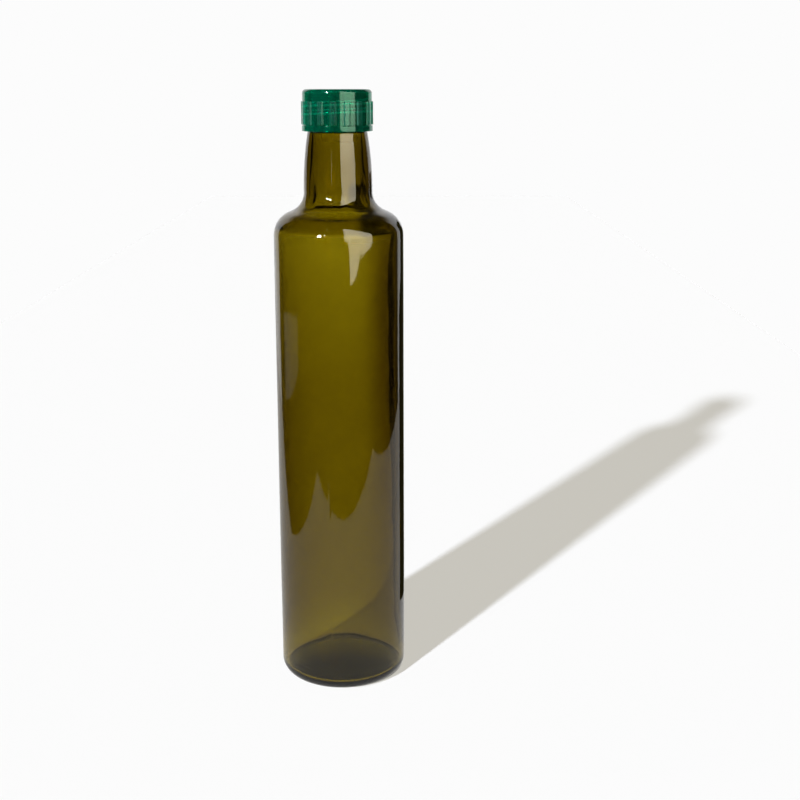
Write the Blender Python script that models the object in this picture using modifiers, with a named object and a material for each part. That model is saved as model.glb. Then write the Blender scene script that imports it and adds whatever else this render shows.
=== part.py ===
"""Olive oil bottle: a tall round bottle of olive green glass with a ribbed green screw cap.

The bottle is empty. It is one hollow solid with a real wall, a pushed-up base that stands on a
ring of short bars, a sloping shoulder, a slightly swelling neck, and a screw finish with a bead.
The cap is one hollow solid with a plain top, upright grip ribs, a scored line and a plain band.

Units are metres, +Z is up, and the origin is where the bottle's axis meets the ground.
"""

import bpy
import bmesh
from math import cos, pi, radians, sin, sqrt
from mathutils import Matrix

MM = 0.001

# Driving dimensions
BODY_DIAMETER = 62.3 * MM
TOTAL_HEIGHT = 288.8 * MM
CAP_HEIGHT = 18.8 * MM
CLEARANCE = 0.3 * MM

# Base
BAR_HEIGHT = 0.4 * MM
BAR_COUNT = 48
BAR_WIDTH = 1.7 * MM
BAR_INNER_RADIUS = 23.2 * MM
BAR_OUTER_RADIUS = 26.6 * MM
BAR_ROOT = 0.5 * MM
RING_INNER_RADIUS = 23.4 * MM
HEEL_RADIUS = 5.6 * MM
PUSH_UP_STEP = 0.8 * MM
PUSH_UP_RISE = 2.6 * MM
FLOOR_THICKNESS = 3.8 * MM
FLOOR_CORNER_RADIUS = 2.5 * MM
FLOOR_RISE = 3.4 * MM

# Body and shoulder
BODY_TOP_RADIUS = 30.65 * MM
BODY_TOP_Z = 221.3 * MM
BODY_FULL_Z = 60.0 * MM
HEEL_WALL = 2.0 * MM
HEEL_WALL_Z = 9.0 * MM
LOW_WALL = 2.9 * MM
LOW_WALL_Z = 30.0 * MM
HIGH_WALL = 2.5 * MM
HIGH_WALL_Z = 200.0 * MM
SHOULDER_WALL = 2.7 * MM
SHOULDER_SLOPE = radians(24)
SHOULDER_RADIUS = 11.7 * MM
NECK_FILLET_RADIUS = 9.4 * MM

# Neck
NECK_RADIUS = 16.1 * MM
NECK_WIDEST_Z = 243.3 * MM
NECK_SWELL_RADIUS = 156.0 * MM
NECK_TOP_Z = 270.5 * MM
NECK_MIDDLE_Z = 258.0 * MM

# Finish under the cap
LIP_RADIUS = 13.2 * MM
LIP_ROUNDING = 0.7 * MM
BORE_RADIUS = 10.8 * MM
BORE_FOOT_RADIUS = 11.2 * MM
FINISH_RADIUS = 13.5 * MM
FINISH_TOP_DROP = 2.0 * MM
BEAD_RADIUS = 15.4 * MM
BEAD_TOP_Z = 271.7 * MM
BEAD_FOOT_Z = 271.1 * MM
BEAD_SLOPE_HEIGHT = 0.9 * MM

# Threads
THREAD_PITCH = 3.6 * MM
THREAD_TURNS = 1.5
THREAD_START_Z = 276.6 * MM
THREAD_START_ANGLE = radians(180)
GLASS_THREAD_CENTRE = 13.65 * MM
GLASS_THREAD_THICKNESS = 0.9 * MM
CAP_THREAD_CENTRE = 14.95 * MM
CAP_THREAD_THICKNESS = 0.75 * MM
THREAD_RUN_OUT = 4
THREAD_POINTS_PER_TURN = 24

# Cap
CAP_RADIUS = 16.1 * MM
CAP_TOP_ROUNDING = 1.8 * MM
CAP_TOP_THICKNESS = 1.5 * MM
CAP_INNER_RADIUS = 15.05 * MM
CAP_BAND_RADIUS = 16.45 * MM
CAP_BAND_INNER_RADIUS = 15.7 * MM
CAP_BAND_HEIGHT = 2.5 * MM
CAP_BAND_STEP_HEIGHT = 2.2 * MM
SCORE_HEIGHT = 0.4 * MM
SCORE_DEPTH = 0.3 * MM
RIB_COUNT = 16
RIB_WIDTH = 2.5 * MM
RIB_RADIUS = 16.65 * MM
RIB_FOOT_DROP = 2.9 * MM
RIB_HEIGHT = 10.4 * MM
RIB_ROOT = 0.8 * MM
RIB_START_ANGLE = radians(-92.9)

# Facets round each turned shape
BOTTLE_STEPS = 60
CAP_STEPS = 48

BODY_RADIUS = BODY_DIAMETER / 2
CAP_BOTTOM_Z = TOTAL_HEIGHT - CAP_HEIGHT
CAP_CEILING_Z = TOTAL_HEIGHT - CAP_TOP_THICKNESS
LIP_Z = CAP_CEILING_Z - CLEARANCE
PUSH_UP_TOP_Z = BAR_HEIGHT + PUSH_UP_STEP + PUSH_UP_RISE
FLOOR_TOP_Z = PUSH_UP_TOP_Z + FLOOR_THICKNESS
MERGE_DISTANCE = 0.01 * MM


def clear_scene():
    """Remove whatever the open scene holds."""
    for item in list(bpy.data.objects):
        bpy.data.objects.remove(item, do_unlink=True)
    for group in list(bpy.data.collections):
        bpy.data.collections.remove(group)


def make_collection(name):
    """Make a collection in the scene and return it."""
    group = bpy.data.collections.new(name)
    bpy.context.scene.collection.children.link(group)
    return group


def make_material(name, colour, roughness, transmission, ior):
    """Make a Principled material for a clear or translucent solid."""
    material = bpy.data.materials.new(name)
    material.use_nodes = True
    shader = material.node_tree.nodes["Principled BSDF"]
    shader.inputs["Base Color"].default_value = colour
    shader.inputs["Roughness"].default_value = roughness
    shader.inputs["Metallic"].default_value = 0.0
    shader.inputs["Transmission Weight"].default_value = transmission
    shader.inputs["IOR"].default_value = ior
    return material


def arc(centre, radius, start, end, steps):
    """Return points along an arc in the (radius, height) plane, both ends included."""
    points = []
    for index in range(steps + 1):
        angle = start + (end - start) * index / steps
        points.append((centre[0] + radius * cos(angle), centre[1] + radius * sin(angle)))
    return points


def dome(edge_radius, edge_z, rise, steps):
    """Return points from a shallow dome's edge to just short of its middle."""
    points = []
    for index in range(steps):
        radius = edge_radius * (1 - index / steps)
        height = edge_z + rise * (1 - (radius / edge_radius) ** 2)
        points.append((radius, height))
    return points


def neck_radius(height):
    """Return the outer radius of the neck, which swells a little towards its foot."""
    above = max(height - NECK_WIDEST_Z, 0.0)
    return NECK_RADIUS - NECK_SWELL_RADIUS + sqrt(NECK_SWELL_RADIUS ** 2 - above ** 2)


def shoulder_centres():
    """Return the centres of the neck fillet's arc and of the shoulder's round."""
    fillet_radius = NECK_RADIUS + NECK_FILLET_RADIUS
    round_radius = BODY_TOP_RADIUS - SHOULDER_RADIUS
    radii = SHOULDER_RADIUS + NECK_FILLET_RADIUS
    normal = (sin(SHOULDER_SLOPE), cos(SHOULDER_SLOPE))
    across = fillet_radius - round_radius - radii * normal[0]
    drop = radii * normal[1] - across * normal[0] / normal[1]
    return (fillet_radius, BODY_TOP_Z + drop), (round_radius, BODY_TOP_Z)


def body_radius(height):
    """Return the outer radius of the body, which tapers a little towards its shoulder."""
    share = min(1.0, (BODY_TOP_Z - height) / (BODY_TOP_Z - BODY_FULL_Z))
    return BODY_TOP_RADIUS + (BODY_RADIUS - BODY_TOP_RADIUS) * share


def outer_profile():
    """Return the outer line of the glass, from the lip down to the middle of the base."""
    fillet_centre, round_centre = shoulder_centres()
    lip_centre = (LIP_RADIUS - LIP_ROUNDING, LIP_Z - LIP_ROUNDING)
    points = arc(lip_centre, LIP_ROUNDING, pi / 2, 0, 2)
    points.append((FINISH_RADIUS, LIP_Z - FINISH_TOP_DROP))
    points.append((FINISH_RADIUS, BEAD_TOP_Z + BEAD_SLOPE_HEIGHT))
    points.append((BEAD_RADIUS, BEAD_TOP_Z))
    points.append((BEAD_RADIUS, BEAD_FOOT_Z))
    neck_steps = 4
    for index in range(neck_steps + 1):
        height = NECK_TOP_Z + (NECK_WIDEST_Z - NECK_TOP_Z) * index / neck_steps
        points.append((neck_radius(height), height))
    points += arc(fillet_centre, NECK_FILLET_RADIUS, pi, 3 * pi / 2 - SHOULDER_SLOPE, 5)
    points += arc(round_centre, SHOULDER_RADIUS, pi / 2 - SHOULDER_SLOPE, 0, 6)
    points.append((BODY_RADIUS, BODY_FULL_Z))
    heel_centre = (BODY_RADIUS - HEEL_RADIUS, BAR_HEIGHT + HEEL_RADIUS)
    points += arc(heel_centre, HEEL_RADIUS, 0, -pi / 2, 5)
    points.append((RING_INNER_RADIUS, BAR_HEIGHT))
    step_radius = RING_INNER_RADIUS - PUSH_UP_STEP
    points += dome(step_radius, BAR_HEIGHT + PUSH_UP_STEP, PUSH_UP_RISE, 3)
    points.append((0.0, PUSH_UP_TOP_Z))
    return points


def inner_profile():
    """Return the inner line of the glass, from the middle of the floor up to the lip."""
    fillet_centre, round_centre = shoulder_centres()
    heel_radius = BODY_RADIUS - HEEL_WALL
    corner_radius = heel_radius - FLOOR_CORNER_RADIUS
    floor_edge_z = FLOOR_TOP_Z - FLOOR_RISE
    points = [(0.0, FLOOR_TOP_Z)]
    points += reversed(dome(corner_radius, floor_edge_z, FLOOR_RISE, 3)[1:])
    corner_centre = (corner_radius, floor_edge_z + FLOOR_CORNER_RADIUS)
    points += arc(corner_centre, FLOOR_CORNER_RADIUS, -pi / 2, 0, 4)
    points.append((heel_radius, HEEL_WALL_Z))
    points.append((body_radius(LOW_WALL_Z) - LOW_WALL, LOW_WALL_Z))
    points.append((body_radius(HIGH_WALL_Z) - HIGH_WALL, HIGH_WALL_Z))
    inner_round = SHOULDER_RADIUS - SHOULDER_WALL
    points += arc(round_centre, inner_round, 0, pi / 2 - SHOULDER_SLOPE, 4)
    inner_fillet = NECK_FILLET_RADIUS + SHOULDER_WALL
    points += arc(fillet_centre, inner_fillet, 3 * pi / 2 - SHOULDER_SLOPE, pi, 5)
    for height in (NECK_WIDEST_Z, NECK_MIDDLE_Z):
        points.append((neck_radius(height) - SHOULDER_WALL, height))
    points.append((BORE_FOOT_RADIUS, NECK_TOP_Z))
    lip_centre = (BORE_RADIUS + LIP_ROUNDING, LIP_Z - LIP_ROUNDING)
    points += arc(lip_centre, LIP_ROUNDING, pi, pi / 2, 2)
    return points


def turn_profile(name, points, steps, material, group):
    """Turn a profile about the Z axis with a Screw modifier."""
    mesh = bpy.data.meshes.new(name)
    work = bmesh.new()
    vertices = [work.verts.new((radius, 0.0, height)) for radius, height in points]
    for first, second in zip(vertices, vertices[1:]):
        work.edges.new((first, second))
    work.to_mesh(mesh)
    work.free()
    turned = bpy.data.objects.new(name, mesh)
    group.objects.link(turned)
    mesh.materials.append(material)
    screw = turned.modifiers.new("Turned", 'SCREW')
    screw.axis = 'Z'
    screw.steps = steps
    screw.render_steps = steps
    screw.use_merge_vertices = True
    screw.merge_threshold = MERGE_DISTANCE
    screw.use_smooth_shade = True
    return turned


def make_guide(made):
    """Show an object that only shapes another one as a wire."""
    made.hide_render = True
    made.display_type = 'WIRE'


def make_blocks(name, count, inner, outer, width, bottom, top, start_angle, material, group):
    """Make a ring of upright blocks in one mesh, evenly spaced from a start angle."""
    mesh = bpy.data.meshes.new(name)
    work = bmesh.new()
    size = Matrix.Diagonal((outer - inner, width, top - bottom, 1.0))
    place = Matrix.Translation(((outer + inner) / 2, 0.0, (top + bottom) / 2))
    for index in range(count):
        turn = Matrix.Rotation(start_angle + 2 * pi * index / count, 4, 'Z')
        bmesh.ops.create_cube(work, size=1.0, matrix=turn @ place @ size)
    work.to_mesh(mesh)
    work.free()
    mesh.materials.append(material)
    blocks = bpy.data.objects.new(name, mesh)
    group.objects.link(blocks)
    make_guide(blocks)
    return blocks


def make_thread(name, centre, thickness, start_z, material, group):
    """Make a round-backed screw thread that thins out at both ends."""
    curve = bpy.data.curves.new(name, 'CURVE')
    curve.dimensions = '3D'
    curve.bevel_depth = thickness
    curve.bevel_resolution = 1
    curve.use_fill_caps = True
    spline = curve.splines.new('POLY')
    count = int(THREAD_TURNS * THREAD_POINTS_PER_TURN)
    spline.points.add(count)
    for index, point in enumerate(spline.points):
        turn = index / THREAD_POINTS_PER_TURN
        angle = THREAD_START_ANGLE + 2 * pi * turn
        height = start_z + THREAD_PITCH * turn
        point.co = (centre * cos(angle), centre * sin(angle), height, 1.0)
        near_end = min(index, count - index) / THREAD_RUN_OUT
        point.radius = min(1.0, 0.4 + 0.6 * near_end)
    bent = bpy.data.objects.new(name + "_line", curve)
    group.objects.link(bent)
    bpy.context.view_layer.update()
    graph = bpy.context.evaluated_depsgraph_get()
    mesh = bpy.data.meshes.new_from_object(bent.evaluated_get(graph))
    work = bmesh.new()
    work.from_mesh(mesh)
    bmesh.ops.remove_doubles(work, verts=work.verts, dist=MERGE_DISTANCE)
    bmesh.ops.recalc_face_normals(work, faces=work.faces)
    work.to_mesh(mesh)
    work.free()
    thread = bpy.data.objects.new(name, mesh)
    thread.matrix_world = bent.matrix_world
    group.objects.link(thread)
    mesh.materials.clear()
    mesh.materials.append(material)
    bpy.data.objects.remove(bent, do_unlink=True)
    make_guide(thread)
    return thread


def join_to(target, piece, name):
    """Join a guide to a part with a Boolean union."""
    union = target.modifiers.new(name, 'BOOLEAN')
    union.operation = 'UNION'
    union.solver = 'EXACT'
    union.object = piece


def build_bottle(parts, guides):
    """Build the hollow glass bottle with its standing bars and its thread."""
    glass = make_material("olive_green_glass", (0.13, 0.12, 0.01, 1.0), 0.02, 1.0, 1.52)
    points = inner_profile() + outer_profile()
    bottle = turn_profile("bottle", points, BOTTLE_STEPS, glass, parts)
    bars = make_blocks(
        "standing_bars", BAR_COUNT, BAR_INNER_RADIUS, BAR_OUTER_RADIUS, BAR_WIDTH,
        0.0, BAR_HEIGHT + BAR_ROOT, 0.0, glass, guides)
    join_to(bottle, bars, "Standing bars")
    thread = make_thread(
        "glass_thread", GLASS_THREAD_CENTRE, GLASS_THREAD_THICKNESS, THREAD_START_Z,
        glass, guides)
    join_to(bottle, thread, "Glass thread")
    return bottle


def cap_profile():
    """Return the cap's line, from under its top, down inside, and back over the outside."""
    band_top_z = CAP_BOTTOM_Z + CAP_BAND_HEIGHT
    score_top_z = band_top_z + SCORE_HEIGHT
    step_z = CAP_BOTTOM_Z + CAP_BAND_STEP_HEIGHT
    round_centre = (CAP_RADIUS - CAP_TOP_ROUNDING, TOTAL_HEIGHT - CAP_TOP_ROUNDING)
    points = [(0.0, TOTAL_HEIGHT)]
    points.append((CAP_RADIUS / 2, TOTAL_HEIGHT))
    points += arc(round_centre, CAP_TOP_ROUNDING, pi / 2, 0, 5)
    points.append((CAP_RADIUS, score_top_z))
    points.append((CAP_RADIUS - SCORE_DEPTH, score_top_z))
    points.append((CAP_RADIUS - SCORE_DEPTH, band_top_z))
    points.append((CAP_BAND_RADIUS, band_top_z))
    points.append((CAP_BAND_RADIUS, CAP_BOTTOM_Z))
    points.append((CAP_BAND_INNER_RADIUS, CAP_BOTTOM_Z))
    points.append((CAP_BAND_INNER_RADIUS, step_z))
    points.append((CAP_INNER_RADIUS, step_z))
    points.append((CAP_INNER_RADIUS, CAP_CEILING_Z))
    points.append((CAP_INNER_RADIUS / 2, CAP_CEILING_Z))
    points.append((0.0, CAP_CEILING_Z))
    return points


def build_cap(parts, guides):
    """Build the hollow screw cap with its grip ribs and its inside thread."""
    plastic = make_material("green_cap_plastic", (0.0, 0.16, 0.08, 1.0), 0.2, 0.6, 1.49)
    cap = turn_profile("screw_cap", cap_profile(), CAP_STEPS, plastic, parts)
    rib_bottom = CAP_BOTTOM_Z + RIB_FOOT_DROP
    ribs = make_blocks(
        "grip_ribs", RIB_COUNT, CAP_RADIUS - RIB_ROOT, RIB_RADIUS, RIB_WIDTH,
        rib_bottom, rib_bottom + RIB_HEIGHT, RIB_START_ANGLE, plastic, guides)
    join_to(cap, ribs, "Grip ribs")
    thread = make_thread(
        "cap_thread", CAP_THREAD_CENTRE, CAP_THREAD_THICKNESS,
        THREAD_START_Z + THREAD_PITCH / 2, plastic, guides)
    join_to(cap, thread, "Cap thread")
    return cap


def main():
    clear_scene()
    parts = make_collection("olive_oil_bottle")
    guides = make_collection("guides")
    build_bottle(parts, guides)
    build_cap(parts, guides)
    bpy.context.view_layer.update()


main()
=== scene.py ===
"""An empty olive oil bottle: olive green glass, mould blown, with a translucent green screw cap."""

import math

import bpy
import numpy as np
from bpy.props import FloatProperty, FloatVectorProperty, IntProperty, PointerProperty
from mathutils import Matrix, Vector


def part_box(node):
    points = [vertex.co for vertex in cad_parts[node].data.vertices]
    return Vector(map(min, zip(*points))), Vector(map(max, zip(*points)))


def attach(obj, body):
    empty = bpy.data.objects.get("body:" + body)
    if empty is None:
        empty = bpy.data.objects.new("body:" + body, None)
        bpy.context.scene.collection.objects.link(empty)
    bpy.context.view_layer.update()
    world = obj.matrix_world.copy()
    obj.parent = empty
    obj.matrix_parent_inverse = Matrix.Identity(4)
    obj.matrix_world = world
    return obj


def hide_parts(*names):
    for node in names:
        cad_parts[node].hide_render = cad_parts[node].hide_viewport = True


bl_info = {
    "name": "Olive Oil Bottle",
    "version": (1, 0, 0),
    "blender": (4, 5, 0),
    "location": "View3D > Sidebar > Oil Bottle",
    "description": "Builds a green glass oil bottle with a ribbed screw cap and a white studio",
    "category": "Add Mesh",
}

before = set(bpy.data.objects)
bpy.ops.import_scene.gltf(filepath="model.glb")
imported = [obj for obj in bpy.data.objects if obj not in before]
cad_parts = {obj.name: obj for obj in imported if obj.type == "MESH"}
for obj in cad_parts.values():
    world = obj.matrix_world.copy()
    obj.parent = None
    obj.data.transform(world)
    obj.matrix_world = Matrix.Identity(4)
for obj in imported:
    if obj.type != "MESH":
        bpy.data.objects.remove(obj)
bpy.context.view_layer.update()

BOTTLE_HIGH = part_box("bottle")[1]
CAP_LOW, CAP_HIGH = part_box("screw_cap")
MM = 0.001

# Glass, from the base up
BODY_RADIUS = BOTTLE_HIGH.x
LIP_Z = BOTTLE_HIGH.z
RING_Z = 0.4 * MM
RING_INNER_RADIUS = 23.4 * MM
HEEL_RADIUS = 5.6 * MM
BAR_COUNT = 48
BAR_WIDTH = 1.7 * MM
BAR_INNER_RADIUS = 23.2 * MM
BAR_OUTER_RADIUS = 26.6 * MM
PUSH_UP_STEP = 0.8 * MM
PUSH_UP_TOP_Z = 3.8 * MM
FLOOR_TOP_Z = 7.6 * MM
FLOOR_RISE = 3.4 * MM
FLOOR_CORNER_RADIUS = 2.5 * MM
HEEL_WALL = 2.0 * MM
HEEL_WALL_Z = 9.0 * MM
LOW_WALL = 2.9 * MM
LOW_WALL_Z = 30.0 * MM
HIGH_WALL = 2.5 * MM
HIGH_WALL_Z = 200.0 * MM
SHOULDER_WALL = 2.7 * MM
BODY_TOP_RADIUS = 30.65 * MM
BODY_TOP_Z = 221.9 * MM
BODY_FULL_Z = 60.0 * MM
SHOULDER_SLOPE = math.radians(24)
SHOULDER_RADIUS = 11.7 * MM
NECK_FILLET_RADIUS = 9.4 * MM
NECK_RADIUS = 16.1 * MM
NECK_WIDEST_Z = 243.3 * MM
NECK_SWELL_RADIUS = 156.0 * MM
NECK_TOP_Z = 270.5 * MM
NECK_WALL_TOP_Z = 258 * MM
BORE_RADIUS = 10.8 * MM
BORE_FOOT_RADIUS = 11.2 * MM
FINISH_RADIUS = 13.5 * MM
FINISH_TOP_Z = LIP_Z - 1.6 * MM
LIP_RADIUS = 13.2 * MM
LIP_ROUNDING = 0.7 * MM
BEAD_RADIUS = 15.4 * MM
BEAD_TOP_Z = 271.7 * MM
BEAD_FOOT_Z = 271.1 * MM
BEAD_ROUNDING = 0.25 * MM
FINISH_FOOT_Z = BEAD_TOP_Z + 0.8 * MM

# Threads, shared by the glass and the cap
THREAD_PITCH = 3.6 * MM
THREAD_TURNS = 1.5
THREAD_START_Z = 276.6 * MM
THREAD_START_ANGLE = math.pi
THREAD_RUN_OUT = 0.17
GLASS_THREAD_HEIGHT = 1.0 * MM
GLASS_THREAD_HALF_WIDTH = 0.9 * MM
GLASS_THREAD_FOOT_Z = 275.2 * MM
GLASS_THREAD_TOP_Z = 284.2 * MM
GLASS_THREAD_SPACING = 0.26 * MM
GLASS_THREAD_MARGIN = 0.4 * MM
CAP_THREAD_HEIGHT = 0.8 * MM
CAP_THREAD_HALF_WIDTH = 0.75 * MM
CAP_THREAD_FOOT_Z = 276.4 * MM
CAP_THREAD_TOP_Z = 285.4 * MM
CAP_THREAD_SPACING = 0.24 * MM

# Lighter line painted on the cap for light that shows the thread through: its height at the right, and where
# it fades in and out
PAINTED_THREAD_LIGHT_Z = 279.2 * MM
PAINTED_THREAD_LIGHT_FADES_IN = (276.2 * MM, 277.2 * MM)
PAINTED_THREAD_LIGHT_FADES_OUT = (282.6 * MM, 283.2 * MM)

# Cap, from its rim up
CAP_TOP_Z = CAP_HIGH.z
CAP_RIM_Z = CAP_LOW.z
CAP_RADIUS = 16.1 * MM
CAP_TOP_ROUNDING = 1.8 * MM
CAP_CEILING_Z = CAP_TOP_Z - 1.5 * MM
CAP_CEILING_ROUNDING = 0.4 * MM
CAP_INNER_RADIUS = 15.05 * MM
CAP_BAND_RADIUS = 16.45 * MM
CAP_BAND_INNER_RADIUS = 15.7 * MM
CAP_BAND_TOP_Z = CAP_RIM_Z + 2.5 * MM
CAP_STEP_Z = CAP_RIM_Z + 2.2 * MM
SCORE_HEIGHT = 0.4 * MM
SCORE_DEPTH = 0.3 * MM
CAP_EDGE_ROUNDING = 0.15 * MM
RIB_COUNT = 16
RIB_WIDTH = 2.5 * MM
RIB_HEIGHT = 0.55 * MM
RIB_TOP_Z = CAP_RIM_Z + 13.3 * MM
RIB_EDGE = 0.06 * MM
RIB_FIRST_ANGLE = math.radians(-92.9)
CAP_SHARP_ANGLE = math.radians(35)

# Mould seams, half a turn apart
SEAM_ANGLE = math.radians(-98)
SEAM_HEIGHT = 0.11 * MM
SEAM_HALF_WIDTH = 0.30 * MM

# Blown wall: height and extra wall all round in mm, and share of the thick side at that height
WALL_BY_HEIGHT = (
    (0.0, 0.0, 0.0), (12.0, 0.0, 0.0), (30.0, 0.1, 0.0), (60.0, 0.2, 0.1), (100.0, 0.3, 0.35),
    (145.0, 0.37, 0.7), (170.0, 0.18, 0.85), (195.0, 0.04, 1.0), (210.0, -0.2, 1.0),
    (221.0, -0.5, 0.8), (224.5, -0.4, 0.7), (227.3, 0.5, 0.6), (230.0, 0.6, 0.5),
    (233.0, -0.3, 0.4), (241.0, 0.4, 0.3), (258.0, 0.6, 0.3), (266.0, 0.45, 0.1),
    (272.0, 0.0, 0.0), (300.0, 0.0, 0.0))
THICK_SIDE = 1.2 * MM
NECK_FOOT_Z = 241.0 * MM
NECK_FOOT_HEIGHT = 6 * MM
FOOT_WAVE = 0.12 * MM
INNER_RIPPLE_LENGTH = 26 * MM
OUTER_RIPPLE_LENGTH = 18 * MM

# Patterns, as waves over a real length. The real peel and spark texture are finer, and are
# drawn this coarse so that they show.
SMEAR_SCALE = 7 / (100 * MM)
PEEL_SCALE = 21 / (50 * MM)
FLOW_SCALE = 33 / (100 * MM)
GRAIN_SCALE = 13 / (10 * MM)

# Studio
CAMERA_PLACE = (28.99 * MM, -559.1 * MM, 291.6 * MM)
CAMERA_PITCH = math.radians(13.93)
CAMERA_FOCAL = 53.21
CAMERA_SHIFT = -0.03
SUN_AZIMUTH = math.radians(-33)
SUN_ELEVATION = math.radians(25)
SUN_SIZE = math.radians(2.3)
FLOOR_OUTLINE = (
    (-1.7, -1.7), (1.7, -1.7), (1.7, 0.5), (0.47, 0.14), (0.47, 2.6), (-0.47, 2.6), (-0.47, 0.14),
    (-1.7, 0.5))
# Shadow painted dark on the floor under the base: its radius, soft edge and middle, a little to the back
# right
PAINTED_SHADOW_RADIUS = 28.6 * MM
PAINTED_SHADOW_EDGE = 1.4 * MM
PAINTED_SHADOW_MIDDLE = (0.5 * MM, 3.4 * MM, 0.0)

# Backdrop that gloss sees: where it starts behind the bottle, where it ends above it, and what
# light is left outside it
BACKDROP_SIDE = (0.62, 0.67)
BACKDROP_TOP = (0.42, 0.63)
LEFT_AT_SIDE = 0.012
LEFT_ABOVE = 0.03

# Cards. The curved ones are given as degrees to the right of the front, lower and upper height.
CARD_DISTANCE = 0.70
TABLE_CARD_Z = -1 * MM
TABLE_CARD_OUTLINE = (
    (-0.245, -0.295), (-0.09, -0.285), (0.185, -0.262), (0.37, -0.223), (0.44, 0.10), (0.47, 2.5),
    (-0.47, 2.5), (-0.42, 0.30), (-0.225, 0.03))
WINDOW_EDGES = (
    (12.5, 0.240, 1.2), (14, 0.20, 1.2), (18, 0.16, 1.2), (22, 0.096, 1.15), (25, 0.096, 1.1),
    (32, 0.106, 1.0), (39, 0.123, 0.9), (50, 0.126, 0.7), (58, 0.132, 0.6), (63, 0.15, 0.56))
WINDOW_FOOT_Z = (0.30, 0.40)
WINDOW_FOOT_SHARE = 0.78
WALL_EDGES = ((-112, -0.035, 0.06), (-95, -0.03, 0.061), (-76, 0.0, 0.061))
FLAG_OUTLINE = (
    (-26, 0), (26, 0), (26, 168), (22, 178), (14, 190), (13, 226), (16, 228), (16, 248),
    (-16, 248), (-16, 228), (-22, 226), (-27, 215), (-30, 190), (-29, 171), (-26, 150))
FLAG_MIDDLE = (71, 70)
FLAG_TURN = math.radians(45.4)
SLAT_COUNT = 9
SLAT_ANGLE = math.radians(47)
SLAT_START = 36.8 * MM
SLAT_GAP = 4 * MM
SLAT_HALF_WIDTH = 5 * MM
SLAT_Y = 30 * MM
SLAT_TOP_Z = 247 * MM
SHADE_Y = 60 * MM
SHADE_WIDTH = 70 * MM
SHADE_FOOT_Z = 210 * MM
SHADE_TOP_Z = 243 * MM
SHADE_STARTS_X = (2 * MM, 20 * MM)
SHADE_STARTS_Z = (211 * MM, 223 * MM)
SHADE_ENDS_Z = (240 * MM, 243 * MM)
SHADE_LIGHT = (0.975, 0.05)
GLINT_DISTANCE = 3.0
GLINT_HALF_WIDTH = 0.15
GLINT_HALF_HEIGHT = 0.17


def linear(code):
    """Turn an sRGB hex colour into linear red, green and blue."""
    values = []
    for start in (1, 3, 5):
        part = int(code[start:start + 2], 16) / 255
        values.append(part / 12.92 if part <= 0.04045 else ((part + 0.055) / 1.055) ** 2.4)
    return tuple(values)


class GlassSettings(bpy.types.PropertyGroup):
    """Sizes and colour of the glass."""
    through: FloatVectorProperty(
        name="Colour through", description="Light left after the thickness below",
        subtype='COLOR', default=linear("#786804"), min=0, max=1)
    thickness: FloatProperty(
        name="Thickness", description="Glass that the colour is given for",
        default=5 * MM, unit='LENGTH')
    inner_ripple: FloatProperty(
        name="Inner ripple", description="Unevenness of the blown inner face",
        default=0.10 * MM, unit='LENGTH', precision=5)
    outer_ripple: FloatProperty(
        name="Outer ripple", description="Unevenness of the face that met the mould",
        default=0.018 * MM, unit='LENGTH', precision=5)
    peel: FloatProperty(
        name="Orange peel", description="Depth of the fine waviness of the skin",
        default=0.006 * MM, unit='LENGTH', precision=6)
    steps: IntProperty(name="Steps", description="Points round the bottle", default=336)


class CapSettings(bpy.types.PropertyGroup):
    """Colour and surface of the cap."""
    colour: FloatVectorProperty(
        name="Colour", description="Colour of the dyed plastic",
        subtype='COLOR', default=linear("#00956E"), min=0, max=1)
    clearness: FloatProperty(
        name="Clearness", description="Share of light that passes straight in",
        subtype='FACTOR', default=0.86, min=0, max=1)


class StudioSettings(bpy.types.PropertyGroup):
    """Light levels of the white studio."""
    sun: FloatProperty(name="Key light", description="Strength of the key light", default=3.86)
    sun_colour: FloatVectorProperty(
        name="Key colour", description="Colour of the key light",
        subtype='COLOR', default=linear("#EDF2FF"), min=0, max=1)
    fill_colour: FloatVectorProperty(
        name="Fill colour", description="Light from all round, as colour times strength",
        subtype='COLOR', default=linear("#D2CFC6"), min=0, max=1)
    window: FloatProperty(name="Window", description="Brightness of the window card", default=6.6)
    window_colour: FloatVectorProperty(
        name="Window colour", description="Colour of the window's light",
        subtype='COLOR', default=linear("#FFF5D8"), min=0, max=1)


def add_node(tree, kind, settings=None, links=None):
    """Add a node, set its attributes and sockets, and link its inputs."""
    node = tree.nodes.new(kind)
    for key, value in (settings or {}).items():
        if isinstance(key, str) and hasattr(node, key):
            setattr(node, key, value)
        else:
            node.inputs[key].default_value = value
    for key, source in (links or {}).items():
        tree.links.new(source, node.inputs[key])
    return node


def smooth_range(tree, source, start, end, low, high):
    """Add a smooth ramp of a value."""
    settings = {
        "interpolation_type": 'SMOOTHSTEP',
        "From Min": start, "From Max": end, "To Min": low, "To Max": high}
    return add_node(tree, "ShaderNodeMapRange", settings, {"Value": source}).outputs["Result"]


def multiply(tree, first, second):
    """Multiply two values."""
    node = add_node(tree, "ShaderNodeMath", {"operation": 'MULTIPLY'}, {0: first, 1: second})
    return node.outputs["Value"]


def new_material(name):
    """Start a material with an empty node tree."""
    material = bpy.data.materials.new(name)
    material.use_nodes = True
    material.node_tree.nodes.clear()
    return material


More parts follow.
